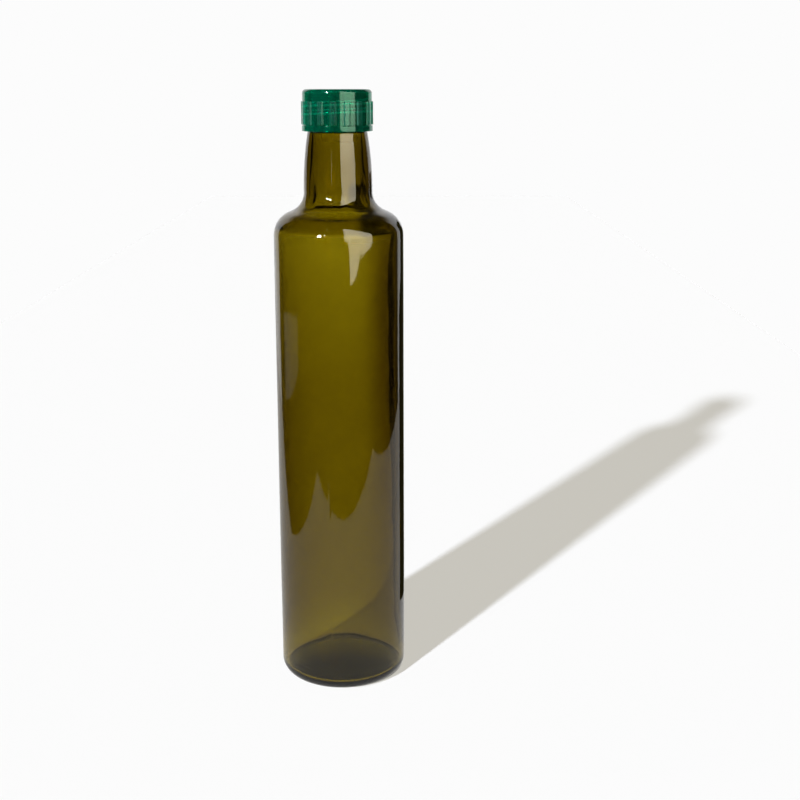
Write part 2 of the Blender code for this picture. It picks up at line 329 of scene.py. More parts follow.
def blown_container_glass(settings):
    """Soda-lime container glass, mould blown and fire polished.

    It gives a deep olive look where light crosses the walls, near-black edges, and hard clean
    reflections with a slight wobble.
    """
    material = new_material("Blown container glass")
    tree = material.node_tree
    place = add_node(tree, "ShaderNodeTexCoord")
    handling = add_node(
        tree, "ShaderNodeTexNoise", {"Scale": SMEAR_SCALE, "Detail": 3.0, "Roughness": 0.6},
        {"Vector": place.outputs["Object"]})
    smear = add_node(
        tree, "ShaderNodeMapRange", {"From Min": 0.5, "From Max": 0.8, "To Min": 0.0, "To Max": 0.03},
        {"Value": handling.outputs["Fac"]})
    stretch = add_node(
        tree, "ShaderNodeMapping", {"Scale": (1.0, 1.0, 1.6)}, {"Vector": place.outputs["Object"]})
    orange_peel = add_node(
        tree, "ShaderNodeTexNoise", {"Scale": PEEL_SCALE, "Detail": 1.5},
        {"Vector": stretch.outputs["Vector"]})
    peel = add_node(
        tree, "ShaderNodeBump", {"Strength": 1.0, "Distance": settings.peel},
        {"Height": orange_peel.outputs["Fac"]})
    shader = add_node(
        tree, "ShaderNodeBsdfPrincipled",
        {"Base Color": (1.0, 1.0, 1.0, 1.0), "Metallic": 0.0, "IOR": 1.52, "Transmission Weight": 1.0},
        {"Roughness": smear.outputs["Result"], "Normal": peel.outputs["Normal"]})
    losses = [-math.log(max(part, 1e-4)) / settings.thickness for part in settings.through]
    density = 1.02 * max(losses)
    left = [1 - loss / density for loss in losses]
    volume = add_node(tree, "ShaderNodeVolumeAbsorption", {"Color": (*left, 1.0), "Density": density})
    add_node(
        tree, "ShaderNodeOutputMaterial", None,
        {"Surface": shader.outputs["BSDF"], "Volume": volume.outputs["Volume"]})
    return material


def moulded_cap_plastic(settings):
    """Dyed polypropylene, injection moulded, polished but for its spark-textured grip ribs.

    It gives a deep emerald that light soaks into, lighter level lines painted where the thread inside
    shows through, upright flow marks, a glossy skin, and greyish ribs: mottled frost and painted sheen.
    """
    material = new_material("Moulded cap plastic")
    tree = material.node_tree
    place = add_node(tree, "ShaderNodeTexCoord")
    axes = add_node(tree, "ShaderNodeSeparateXYZ", None, {"Vector": place.outputs["Object"]})
    flat = add_node(
        tree, "ShaderNodeVectorMath", {"operation": 'MULTIPLY', 1: (1.0, 1.0, 0.0)},
        {0: place.outputs["Object"]})
    length = add_node(tree, "ShaderNodeVectorMath", {"operation": 'LENGTH'}, {0: flat.outputs["Vector"]})
    reach = length.outputs["Value"]
    height = axes.outputs["Z"]
    raised = smooth_range(tree, reach, CAP_RADIUS + 0.3 * MM, CAP_RADIUS + 0.5 * MM, 0.0, 1.0)
    above_band = smooth_range(tree, height, CAP_BAND_TOP_Z, CAP_BAND_TOP_Z + 0.3 * MM, 0.0, 1.0)
    on_rib = multiply(tree, raised, above_band)
    # Painted light: a lighter line along the thread's helix, where light shows the thread inside through the
    # cap
    turn = add_node(
        tree, "ShaderNodeMath", {"operation": 'ARCTAN2'}, {0: axes.outputs["Y"], 1: axes.outputs["X"]})
    climb = add_node(
        tree, "ShaderNodeMath", {"operation": 'MULTIPLY_ADD', 1: -THREAD_PITCH / (2 * math.pi)},
        {0: turn.outputs["Value"], 2: height})
    from_line = add_node(
        tree, "ShaderNodeMath", {"operation": 'SUBTRACT', 1: PAINTED_THREAD_LIGHT_Z},
        {0: climb.outputs["Value"]})
    lap = add_node(
        tree, "ShaderNodeMath", {"operation": 'WRAP', 1: -THREAD_PITCH / 2, 2: THREAD_PITCH / 2},
        {0: from_line.outputs["Value"]})
    away = add_node(tree, "ShaderNodeMath", {"operation": 'ABSOLUTE'}, {0: lap.outputs["Value"]})
    thread = smooth_range(tree, away.outputs["Value"], 0.1 * MM, 0.6 * MM, 1.0, 0.0)
    thread = multiply(tree, thread, smooth_range(tree, height, *PAINTED_THREAD_LIGHT_FADES_IN, 0.0, 1.0))
    thread = multiply(tree, thread, smooth_range(tree, height, *PAINTED_THREAD_LIGHT_FADES_OUT, 1.0, 0.0))
    upright = add_node(
        tree, "ShaderNodeMapping", {"Scale": (1.0, 1.0, 0.12)}, {"Vector": place.outputs["Object"]})
    flow = add_node(
        tree, "ShaderNodeTexNoise", {"Scale": FLOW_SCALE, "Detail": 3.0, "Roughness": 0.55},
        {"Vector": upright.outputs["Vector"]})
    streak = smooth_range(tree, flow.outputs["Fac"], 0.35, 0.65, 0.0, 1.0)
    deep = tuple(part * 0.55 for part in settings.colour)
    tint = add_node(
        tree, "ShaderNodeMix",
        {"data_type": 'RGBA', 6: (*deep, 1.0), 7: (*settings.colour, 1.0)}, {0: streak})
    # Painted light colour for the thread line
    thread_light_colour = tuple(min(1.0, part * 1.6) for part in settings.colour)
    with_thread_light = add_node(
        tree, "ShaderNodeMix", {"data_type": 'RGBA', 7: (*thread_light_colour, 1.0)},
        {0: thread, 6: tint.outputs[2]})
    grain = add_node(
        tree, "ShaderNodeTexNoise", {"Scale": GRAIN_SCALE, "Detail": 2.0},
        {"Vector": place.outputs["Object"]})
    flank = multiply(
        tree, smooth_range(tree, reach, CAP_RADIUS + 0.03 * MM, CAP_RADIUS + 0.1 * MM, 0.0, 1.0),
        smooth_range(tree, reach, CAP_RADIUS + 0.47 * MM, CAP_RADIUS + 0.53 * MM, 1.0, 0.0))
    flank = multiply(tree, flank, above_band)
    frost = multiply(tree, on_rib, smooth_range(tree, grain.outputs["Fac"], 0.42, 0.58, 0.35, 1.0))
    # Paler greyish colour on the ribs, mottled by the grain: partly the frosted plastic's own look, partly a
    # painted sheen
    frost_and_sheen = add_node(
        tree, "ShaderNodeMix", {"data_type": 'RGBA', 7: (*linear("#59AA9A"), 1.0)},
        {0: multiply(tree, frost, smooth_range(tree, flank, 0.0, 1.0, 0.55, 0.0)), 6: with_thread_light.outputs[2]})
    polish = add_node(
        tree, "ShaderNodeMath", {"operation": 'MULTIPLY_ADD', 1: 0.6},
        {0: flank, 2: smooth_range(tree, frost, 0.0, 1.0, 0.08, 0.16)})
    skin = add_node(
        tree, "ShaderNodeMath", {"operation": 'MULTIPLY_ADD', 1: 0.12}, {0: grain.outputs["Fac"], 2: frost})
    bump = add_node(
        tree, "ShaderNodeBump", {"Strength": 0.5, "Distance": 0.02 * MM},
        {"Height": skin.outputs["Value"]})
    shader = add_node(
        tree, "ShaderNodeBsdfPrincipled",
        {"Metallic": 0.0, "IOR": 1.49, "Transmission Weight": settings.clearness,
         "Specular Tint": (*linear("#C4FFF6"), 1.0)},
        {"Base Color": frost_and_sheen.outputs[2], "Roughness": polish.outputs["Value"],
         "Normal": bump.outputs["Normal"]})
    add_node(tree, "ShaderNodeOutputMaterial", None, {"Surface": shader.outputs["BSDF"]})
    return material


def arc(centre, radius, start, end, steps):
    """Return points along an arc in the (radius, height) plane, both ends included."""
    points = []
    for index in range(steps + 1):
        angle = start + (end - start) * index / steps
        points.append((centre[0] + radius * math.cos(angle), centre[1] + radius * math.sin(angle)))
    return points


def straight(start, end, spacing):
    """Return points along a straight line, both ends included, no further apart than spacing."""
    length = math.hypot(end[0] - start[0], end[1] - start[1])
    steps = max(1, math.ceil(length / spacing))
    points = []
    for index in range(steps + 1):
        share = index / steps
        points.append((start[0] + (end[0] - start[0]) * share, start[1] + (end[1] - start[1]) * share))
    return points


def dome(edge_radius, edge_z, rise, steps):
    """Return points from a shallow dome's edge to its middle."""
    points = []
    for index in range(steps + 1):
        radius = edge_radius * (1 - index / steps)
        points.append((radius, edge_z + rise * (1 - (radius / edge_radius) ** 2)))
    return points


def without_repeats(points):
    """Drop each point that lies on the one before it."""
    kept = [points[0]]
    for point in points[1:]:
        if math.hypot(point[0] - kept[-1][0], point[1] - kept[-1][1]) > 0.002 * MM:
            kept.append(point)
    return kept


def neck_radius(height):
    """Return the outer radius of the neck, which swells a little towards its foot."""
    above = max(height - NECK_WIDEST_Z, 0.0)
    return NECK_RADIUS - NECK_SWELL_RADIUS + math.sqrt(NECK_SWELL_RADIUS ** 2 - above ** 2)


def shoulder_centres():
    """Return the centres of the neck fillet's arc and of the shoulder's round."""
    fillet_radius = NECK_RADIUS + NECK_FILLET_RADIUS
    round_radius = BODY_TOP_RADIUS - SHOULDER_RADIUS
    radii = SHOULDER_RADIUS + NECK_FILLET_RADIUS
    across = fillet_radius - round_radius - radii * math.sin(SHOULDER_SLOPE)
    drop = radii * math.cos(SHOULDER_SLOPE) - across * math.tan(SHOULDER_SLOPE)
    return (fillet_radius, BODY_TOP_Z + drop), (round_radius, BODY_TOP_Z)


def body_radius(height):
    """Return the outer radius of the body, which tapers a little towards its shoulder."""
    share = min(1.0, (BODY_TOP_Z - height) / (BODY_TOP_Z - BODY_FULL_Z))
    return BODY_TOP_RADIUS + (BODY_RADIUS - BODY_TOP_RADIUS) * share


def glass_inner_line():
    """Return the inner line of the glass, from the middle of the floor up to the lip."""
    fillet_centre, round_centre = shoulder_centres()
    heel_radius = BODY_RADIUS - HEEL_WALL
    low_radius = body_radius(LOW_WALL_Z) - LOW_WALL
    high_radius = body_radius(HIGH_WALL_Z) - HIGH_WALL
    corner_radius = heel_radius - FLOOR_CORNER_RADIUS
    floor_edge_z = FLOOR_TOP_Z - FLOOR_RISE
    points = list(reversed(dome(corner_radius, floor_edge_z, FLOOR_RISE, 10)))
    corner = (corner_radius, floor_edge_z + FLOOR_CORNER_RADIUS)
    points += arc(corner, FLOOR_CORNER_RADIUS, -math.pi / 2, 0, 12)
    points += straight((heel_radius, corner[1]), (heel_radius, HEEL_WALL_Z), 1 * MM)
    points += straight((heel_radius, HEEL_WALL_Z), (low_radius, LOW_WALL_Z), 3 * MM)
    points += straight((low_radius, LOW_WALL_Z), (high_radius, HIGH_WALL_Z), 6 * MM)
    inner_round = SHOULDER_RADIUS - SHOULDER_WALL
    points += straight((high_radius, HIGH_WALL_Z), (round_centre[0] + inner_round, BODY_TOP_Z), 5 * MM)
    points += arc(round_centre, inner_round, 0, math.pi / 2 - SHOULDER_SLOPE, 12)
    inner_fillet = NECK_FILLET_RADIUS + SHOULDER_WALL
    points += arc(fillet_centre, inner_fillet, 3 * math.pi / 2 - SHOULDER_SLOPE, math.pi, 12)
    for _, height in straight((0, fillet_centre[1]), (0, NECK_WALL_TOP_Z), 3 * MM):
        points.append((neck_radius(height) - SHOULDER_WALL, height))
    points += straight(points[-1], (BORE_FOOT_RADIUS, NECK_TOP_Z), 3 * MM)
    points += straight((BORE_FOOT_RADIUS, NECK_TOP_Z), (BORE_RADIUS, LIP_Z - LIP_ROUNDING), 3 * MM)
    return points


def glass_outer_line():
    """Return the outer line of the glass, from the lip down to the middle of the base."""
    fillet_centre, round_centre = shoulder_centres()
    points = arc((BORE_RADIUS + LIP_ROUNDING, LIP_Z - LIP_ROUNDING), LIP_ROUNDING, math.pi, math.pi / 2, 5)
    points += arc((LIP_RADIUS - LIP_ROUNDING, LIP_Z - LIP_ROUNDING), LIP_ROUNDING, math.pi / 2, 0, 5)
    points.append((FINISH_RADIUS, FINISH_TOP_Z))
    points += straight(
        (FINISH_RADIUS, GLASS_THREAD_TOP_Z), (FINISH_RADIUS, GLASS_THREAD_FOOT_Z), GLASS_THREAD_SPACING)
    points.append((FINISH_RADIUS, FINISH_FOOT_Z))
    bead_centre = BEAD_RADIUS - BEAD_ROUNDING
    points += arc((bead_centre, BEAD_TOP_Z - BEAD_ROUNDING), BEAD_ROUNDING, math.pi / 2.6, 0, 4)
    points += arc((bead_centre, BEAD_FOOT_Z + BEAD_ROUNDING), BEAD_ROUNDING, 0, -math.pi / 2.6, 4)
    for _, height in straight((0, NECK_TOP_Z), (0, fillet_centre[1]), 2 * MM):
        points.append((neck_radius(height), height))
    points += arc(fillet_centre, NECK_FILLET_RADIUS, math.pi, 3 * math.pi / 2 - SHOULDER_SLOPE, 14)
    points += arc(round_centre, SHOULDER_RADIUS, math.pi / 2 - SHOULDER_SLOPE, 0, 16)
    points += straight((BODY_TOP_RADIUS, BODY_TOP_Z), (BODY_RADIUS, BODY_FULL_Z), 4 * MM)
    heel = (BODY_RADIUS - HEEL_RADIUS, RING_Z + HEEL_RADIUS)
    points += straight((BODY_RADIUS, BODY_FULL_Z), (BODY_RADIUS, heel[1]), 6 * MM)
    points += arc(heel, HEEL_RADIUS, 0, -math.pi / 2, 16)
    points += straight((heel[0], RING_Z), (RING_INNER_RADIUS, RING_Z), 0.35 * MM)
    push_up_radius = RING_INNER_RADIUS - PUSH_UP_STEP
    push_up_edge_z = RING_Z + PUSH_UP_STEP
    points += dome(push_up_radius, push_up_edge_z, PUSH_UP_TOP_Z - push_up_edge_z, 9)
    return points


def ripple(angles, heights, seed, shortest):
    """Return a smooth unevenness between about -1 and 1, the same each run."""
    draw = np.random.default_rng(seed)
    total = np.zeros(np.broadcast(angles, heights).shape)
    waves = 14
    for _ in range(waves):
        around = draw.integers(1, 9)
        along = draw.uniform(0.2, 1.0) / shortest
        phase = draw.uniform(0, 2 * math.pi, 2)
        total = total + np.sin(around * angles + phase[0]) * np.sin(2 * math.pi * along * heights + phase[1])
    return total / math.sqrt(waves)


def helix_ridge(angles, heights, start_z, half_width):
    """Return the height, 0 to 1, of a round-backed thread that runs out at both ends."""
    ridge = np.zeros(np.broadcast(angles, heights).shape)
    for lap in range(2):
        turn = ((angles - THREAD_START_ANGLE) / (2 * math.pi)) % 1.0 + lap
        inside = np.clip(np.minimum(turn, THREAD_TURNS - turn) / THREAD_RUN_OUT, 0, 1)
        inside = inside * inside * (3 - 2 * inside)
        away = (heights - start_z - THREAD_PITCH * turn) / half_width
        back = np.sqrt(np.clip(1 - away * away, 0, 1))
        ridge = np.maximum(ridge, inside * back)
    return ridge


def near(angles, centre, radius, half_width):
    """Return a soft bump, 0 to 1, round one angle."""
    away = (angles - centre + math.pi) % (2 * math.pi) - math.pi
    return np.exp(-(away * radius / half_width) ** 2)


def soft_step(value, low, high):
    """Rise smoothly from 0 at low to 1 at high."""
    share = np.clip((value - low) / (high - low), 0, 1)
    return share * share * (3 - 2 * share)


def turned_mesh(name, radii, heights, angles):
    """Make one closed mesh from a grid of radii and heights, with its ends on the axis."""
    count = len(angles)
    rows = radii.shape[0]
    xs = radii * np.cos(angles)
    ys = radii * np.sin(angles)
    middle = np.stack([xs, ys, heights], axis=-1)[1:-1].reshape(-1, 3)
    first = [[0.0, 0.0, float(heights[0].mean())]]
    last = [[0.0, 0.0, float(heights[-1].mean())]]
    points = first + middle.tolist() + last
    faces = []
    for step in range(count):
        following = (step + 1) % count
        faces.append((0, 1 + step, 1 + following))
    for row in range(rows - 3):
        upper = 1 + row * count
        lower = upper + count
        for step in range(count):
            following = (step + 1) % count
            faces.append((upper + step, lower + step, lower + following, upper + following))
    end = len(points) - 1
    final = 1 + (rows - 3) * count
    for step in range(count):
        following = (step + 1) % count
        faces.append((final + step, end, final + following))
    mesh = bpy.data.meshes.new(name)
    mesh.from_pydata(points, [], faces)
    mesh.validate()
    mesh.shade_smooth()
    return mesh


def place_piece(name, mesh, material, node):
    """Put a finished mesh in the scene in place of its plain solid."""
    piece = bpy.data.objects.new(name, mesh)
    bpy.context.scene.collection.objects.link(piece)
    mesh.materials.append(material)
    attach(piece, "root")
    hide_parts(node)
    piece.visible_diffuse = False


def glass_angles(steps):
    """Return angles round the bottle, evenly spaced, with more of them at the mould seams."""
    even = np.arange(steps) * 2 * math.pi / steps
    fine = np.linspace(-1.6, 1.6, 9) * SEAM_HALF_WIDTH / BODY_RADIUS
    both = np.concatenate([SEAM_ANGLE + fine, SEAM_ANGLE + math.pi + fine])
    every = np.sort(np.concatenate([even, both % (2 * math.pi)]))
    gaps = np.diff(np.append(every, every[0] + 2 * math.pi))
    return every[gaps > 0.0004]


def build_glass(settings):
    """Build the glass with its thread, bars, seams and blown unevenness."""
    inner = without_repeats(glass_inner_line())
    outer = without_repeats(glass_outer_line())
    line = np.array(without_repeats(inner + outer))
    is_outer = np.arange(len(line)) >= len(inner)
    angles = glass_angles(settings.steps)[None, :]
    radii = np.repeat(line[:, 0:1], angles.shape[1], axis=1)
    heights = np.repeat(line[:, 1:2], angles.shape[1], axis=1)
    outside = is_outer[:, None]
    inside = ~outside
    on_finish = outside & (heights > GLASS_THREAD_FOOT_Z - GLASS_THREAD_MARGIN)
    on_finish = on_finish & (heights < GLASS_THREAD_TOP_Z + GLASS_THREAD_MARGIN)
    thread = helix_ridge(angles, heights, THREAD_START_Z, GLASS_THREAD_HALF_WIDTH)
    radii = radii + on_finish * thread * GLASS_THREAD_HEIGHT
    below_bead = soft_step(BEAD_FOOT_Z - heights, 0.0, 2 * MM) * soft_step(heights, 2 * MM, 8 * MM)
    seam = near(angles, SEAM_ANGLE, line[:, 0:1] + 1e-6, SEAM_HALF_WIDTH)
    seam = seam + near(angles, SEAM_ANGLE + math.pi, line[:, 0:1] + 1e-6, SEAM_HALF_WIDTH)
    radii = radii + outside * below_bead * seam * SEAM_HEIGHT
    table = np.array(WALL_BY_HEIGHT) * MM
    extra = np.interp(heights, table[:, 0], table[:, 1])
    lopsided = np.interp(heights, table[:, 0], table[:, 2]) / MM
    extra = extra + lopsided * THICK_SIDE * soft_step(np.cos(angles), 0.35, 0.95)
    radii = radii - inside * extra
    calm_ends = soft_step(heights, 12 * MM, 40 * MM) * soft_step(LIP_Z - heights, 18 * MM, 30 * MM)
    swell = ripple(angles, heights, 7, INNER_RIPPLE_LENGTH)
    radii = radii - inside * calm_ends * (0.5 + 0.5 * swell) * settings.inner_ripple
    foot = np.exp(-((heights - NECK_FOOT_Z) / NECK_FOOT_HEIGHT) ** 2)
    sag = np.sin(7 * angles + 0.6) + 0.7 * np.sin(13 * angles + 2.1) + 0.5 * np.sin(20 * angles)
    radii = radii - inside * foot * sag * FOOT_WAVE
    skin = ripple(angles, heights, 11, OUTER_RIPPLE_LENGTH)
    radii = radii - outside * calm_ends * (0.5 + 0.5 * skin) * settings.outer_ripple
    bar_turn = (angles * BAR_COUNT / (2 * math.pi) + 0.5) % 1.0 - 0.5
    bar_away = np.abs(bar_turn) * 2 * math.pi / BAR_COUNT * radii
    across = 1 - soft_step(bar_away, BAR_WIDTH / 2 - 0.25 * MM, BAR_WIDTH / 2 + 0.25 * MM)
    reach = soft_step(radii, BAR_INNER_RADIUS - 0.1 * MM, BAR_INNER_RADIUS + 0.35 * MM)
    reach = reach * (1 - soft_step(radii, BAR_OUTER_RADIUS - 0.5 * MM, BAR_OUTER_RADIUS))
    on_ring = outside & (heights < RING_Z + 0.2 * MM)
    heights = heights - on_ring * across * reach * heights
    return turned_mesh("glass_bottle", radii, heights, angles[0])


def cap_angles():
    """Return angles round the cap, closer together at the edges of each rib."""
    half = RIB_WIDTH / 2 / CAP_RADIUS
    edge = RIB_EDGE / CAP_RADIUS
    pitch = 2 * math.pi / RIB_COUNT
    guard = 0.03 * MM / CAP_RADIUS
    flat = np.linspace(-(half - edge - guard), half - edge - guard, 5)
    sides = np.array([half - edge, half - edge * 0.5, half, half + edge * 0.5, half + edge])
    valley = np.linspace(half + edge + guard, pitch - half - edge - guard, 7)
    local = np.concatenate([flat, sides, valley, -sides % pitch])
    one = np.unique(np.round(local % pitch, 7))
    every = np.concatenate([one + pitch * index for index in range(RIB_COUNT)])
    return np.sort(every)


def cap_line():
    """Return the cap's line, from its top over the outside and back up the inside."""
    edge = CAP_EDGE_ROUNDING
    rounding = (CAP_RADIUS - CAP_TOP_ROUNDING, CAP_TOP_Z - CAP_TOP_ROUNDING)
    points = straight((0, CAP_TOP_Z), (rounding[0], CAP_TOP_Z), 2.4 * MM)
    points += arc(rounding, CAP_TOP_ROUNDING, math.pi / 2, 0, 12)
    above_ribs = (CAP_RADIUS, RIB_TOP_Z + 2 * RIB_EDGE)
    rib_tops = (CAP_RADIUS, RIB_TOP_Z - 2 * RIB_EDGE)
    points += straight((CAP_RADIUS, rounding[1]), above_ribs, 0.8 * MM)
    points += straight(above_ribs, rib_tops, 0.08 * MM)
    score_top = CAP_BAND_TOP_Z + SCORE_HEIGHT
    points += straight(rib_tops, (CAP_RADIUS, score_top + 0.02 * MM), 1.0 * MM)
    score_radius = CAP_RADIUS - SCORE_DEPTH
    points += arc((score_radius + edge, score_top - edge), edge, math.pi / 2, math.pi, 4)
    points += arc((score_radius + edge, CAP_BAND_TOP_Z + edge), edge, math.pi, 3 * math.pi / 2, 4)
    points += arc((CAP_BAND_RADIUS - edge, CAP_BAND_TOP_Z - edge), edge, math.pi / 2, 0, 4)
    points += arc((CAP_BAND_RADIUS - edge, CAP_RIM_Z + edge), edge, 0, -math.pi / 2, 4)
    points += arc((CAP_BAND_INNER_RADIUS + edge, CAP_RIM_Z + edge), edge, -math.pi / 2, -math.pi, 4)
    points.append((CAP_BAND_INNER_RADIUS, CAP_STEP_Z - 0.01 * MM))
    points.append((CAP_BAND_INNER_RADIUS, CAP_STEP_Z))
    thread_foot = (CAP_INNER_RADIUS, CAP_THREAD_FOOT_Z)
    points += straight((CAP_INNER_RADIUS, CAP_STEP_Z), thread_foot, 1.2 * MM)
    points += straight(thread_foot, (CAP_INNER_RADIUS, CAP_THREAD_TOP_Z), CAP_THREAD_SPACING)
    ceiling = (CAP_INNER_RADIUS - CAP_CEILING_ROUNDING, CAP_CEILING_Z - CAP_CEILING_ROUNDING)
    points += arc(ceiling, CAP_CEILING_ROUNDING, 0, math.pi / 2, 5)
    points += straight((ceiling[0], CAP_CEILING_Z), (0, CAP_CEILING_Z), 3 * MM)
    return points


def build_cap():
    """Build the cap with its ribs and its inside thread."""
    line = np.array(without_repeats(cap_line()))
    angles = cap_angles()[None, :]
    radii = np.repeat(line[:, 0:1], angles.shape[1], axis=1)
    heights = np.repeat(line[:, 1:2], angles.shape[1], axis=1)
    on_wall = np.abs(line[:, 0:1] - CAP_RADIUS) < 0.001 * MM
    pitch = 2 * math.pi / RIB_COUNT
    away = np.abs((angles - RIB_FIRST_ANGLE + pitch / 2) % pitch - pitch / 2) * CAP_RADIUS
    across = 1 - soft_step(away, RIB_WIDTH / 2 - RIB_EDGE, RIB_WIDTH / 2 + RIB_EDGE)
    along = 1 - soft_step(heights, RIB_TOP_Z - RIB_EDGE, RIB_TOP_Z + RIB_EDGE)
    radii = radii + on_wall * across * along * RIB_HEIGHT
    on_bore = np.abs(line[:, 0:1] - CAP_INNER_RADIUS) < 0.001 * MM
    thread = helix_ridge(angles, heights, THREAD_START_Z + THREAD_PITCH / 2, CAP_THREAD_HALF_WIDTH)
    radii = radii - on_bore * thread * CAP_THREAD_HEIGHT
    mesh = turned_mesh("moulded_screw_cap", radii, heights, angles[0])
    mesh.set_sharp_from_angle(angle=CAP_SHARP_ANGLE)
    return mesh


def stage_piece(name, points, faces, material):
    """Put a piece of the studio in the scene."""
    mesh = bpy.data.meshes.new(name)
    mesh.from_pydata(points, [], faces)
    made = bpy.data.objects.new(name, mesh)
    bpy.context.scene.collection.objects.link(made)
    mesh.materials.append(material)
    return made


def glowing(name, colour, strength):
    """Make a plain glowing face, for cards that the glass mirrors."""
    material = new_material(name)
    tree = material.node_tree
    glow = add_node(tree, "ShaderNodeEmission", {"Color": (*colour, 1.0), "Strength": strength})
    add_node(tree, "ShaderNodeOutputMaterial", None, {"Surface": glow.outputs["Emission"]})
    return material


def reflection_card(name, points, faces, material, inside=False):
    """Make a card that only mirrored rays see, and rays bent by the glass if inside is set."""
    card = stage_piece(name, points, faces, material)
    card.visible_camera = False
    card.visible_diffuse = False
    card.visible_transmission = inside
    card.visible_shadow = False
    card.visible_volume_scatter = False
    return card


def around(degrees, distance, height):
    """Return the point at an angle to the right of the front, seen from the bottle's axis."""
    angle = math.radians(degrees)
    return (distance * math.sin(angle), -distance * math.cos(angle), height)


def curved_card(name, distance, edges, material, inside=False):
    """Make an upright curved card from angles with their lower and upper heights."""
    points = []
    faces = []
    for index, (degrees, low, high) in enumerate(edges):
        points += [around(degrees, distance, low), around(degrees, distance, high)]
        if index:
            faces.append((2 * index - 2, 2 * index, 2 * index + 1, 2 * index - 1))
    reflection_card(name, points, faces, material, inside)


def make_world(settings):
    """Light the scene evenly: white to the eye, and for gloss white only behind the bottle.

    Mirrored rays and rays bent by the glass both count as gloss here. At the edges of the glass
    they turn far to the left and right, where the studio is dark.
    """
    world = bpy.data.worlds.new("White studio")
    bpy.context.scene.world = world
    world.use_nodes = True
    tree = world.node_tree
    tree.nodes.clear()
    rays = add_node(tree, "ShaderNodeLightPath")
    place = add_node(tree, "ShaderNodeTexCoord")
    axes = add_node(tree, "ShaderNodeSeparateXYZ", None, {"Vector": place.outputs["Generated"]})
    flat = add_node(
        tree, "ShaderNodeVectorMath", {"operation": 'MULTIPLY', 1: (1.0, 1.0, 0.0)},
        {0: place.outputs["Generated"]})
    level = add_node(tree, "ShaderNodeVectorMath", {"operation": 'NORMALIZE'}, {0: flat.outputs["Vector"]})
    compass = add_node(tree, "ShaderNodeSeparateXYZ", None, {"Vector": level.outputs["Vector"]})
    backdrop = smooth_range(tree, compass.outputs["Y"], *BACKDROP_SIDE, LEFT_AT_SIDE, 1.0)
    gloss = multiply(
        tree, backdrop, smooth_range(tree, axes.outputs["Z"], *BACKDROP_TOP, 1.0, LEFT_ABOVE))
    white = (*linear("#FCFCFC"), 1.0)
    seen = add_node(
        tree, "ShaderNodeMix", {"data_type": 'RGBA', 6: (*settings.fill_colour, 1.0), 7: white},
        {0: rays.outputs["Is Camera Ray"]})
    mirrored = add_node(
        tree, "ShaderNodeMix", {"data_type": 'RGBA'},
        {0: rays.outputs["Is Glossy Ray"], 6: seen.outputs[2], 7: gloss})
    sky = add_node(tree, "ShaderNodeBackground", None, {"Color": mirrored.outputs[2]})
    add_node(tree, "ShaderNodeOutputWorld", None, {"Surface": sky.outputs["Background"]})


def make_floor():
    """Lay a sheet of matt white paper, which gives a plain ground with soft shadows.

    Mirrored rays don't see it, and a shadow is painted dark on it under the base, where little light gets
    in.
    """
    material = new_material("White paper sweep")
    tree = material.node_tree
    place = add_node(tree, "ShaderNodeTexCoord")
    # Painted shadow: the paper is dark in a circle under the base, with a soft edge, and white outside it
    from_middle = add_node(
        tree, "ShaderNodeVectorMath", {"operation": 'SUBTRACT', 1: PAINTED_SHADOW_MIDDLE},
        {0: place.outputs["Object"]})
    reach = add_node(
        tree, "ShaderNodeVectorMath", {"operation": 'LENGTH'}, {0: from_middle.outputs["Vector"]})
    lit = smooth_range(
        tree, reach.outputs["Value"], PAINTED_SHADOW_RADIUS, PAINTED_SHADOW_RADIUS + PAINTED_SHADOW_EDGE, 0.0, 1.0)
    paper = add_node(
        tree, "ShaderNodeMix",
        {"data_type": 'RGBA', 6: (*linear("#303030"), 1.0), 7: (*linear("#F3F3F3"), 1.0)}, {0: lit})
    shader = add_node(
        tree, "ShaderNodeBsdfPrincipled", {"Roughness": 0.95, "Specular IOR Level": 0.0},
        {"Base Color": paper.outputs[2]})
    add_node(tree, "ShaderNodeOutputMaterial", None, {"Surface": shader.outputs["BSDF"]})
    points = [(x, y, 0.0) for x, y in FLOOR_OUTLINE]
    floor = stage_piece("floor", points, [tuple(range(len(points)))], material)
    floor.visible_glossy = False


def make_table_card():
    """Lay the lit table top that the glass mirrors."""
    points = [(x, y, TABLE_CARD_Z) for x, y in TABLE_CARD_OUTLINE]
    table = glowing("Lit table top", linear("#FFFDF9"), 0.68)
    reflection_card("table_card", points, [tuple(range(len(points)))], table)


def make_window_card(settings):
    """Hang the window to the front right, a little dimmer at its foot."""
    window = glowing("Window light", settings.window_colour, settings.window)
    tree = window.node_tree
    place = add_node(tree, "ShaderNodeTexCoord")
    axes = add_node(tree, "ShaderNodeSeparateXYZ", None, {"Vector": place.outputs["Object"]})
    dim = settings.window * WINDOW_FOOT_SHARE
    level = smooth_range(tree, axes.outputs["Z"], *WINDOW_FOOT_Z, dim, settings.window)
    tree.links.new(level, tree.nodes["Emission"].inputs["Strength"])
    curved_card("window_card", CARD_DISTANCE, WINDOW_EDGES, window, inside=True)


def make_wall_card():
    """Stand the far wall to the left, low and dim."""
    wall = glowing("Far wall", linear("#FFFCF1"), 0.34)
    curved_card("wall_card", CARD_DISTANCE, WALL_EDGES, wall)


def make_flag_card(dark):
    """Stand a dark flag behind on the right, for the glass to mirror at its edge."""
    flag = []
    for across, height in FLAG_OUTLINE:
        flag.append((
            (FLAG_MIDDLE[0] + across * math.cos(FLAG_TURN)) * MM,
            (FLAG_MIDDLE[1] - across * math.sin(FLAG_TURN)) * MM, height * MM))
    reflection_card("flag_card", flag, [tuple(range(len(flag)))], dark)


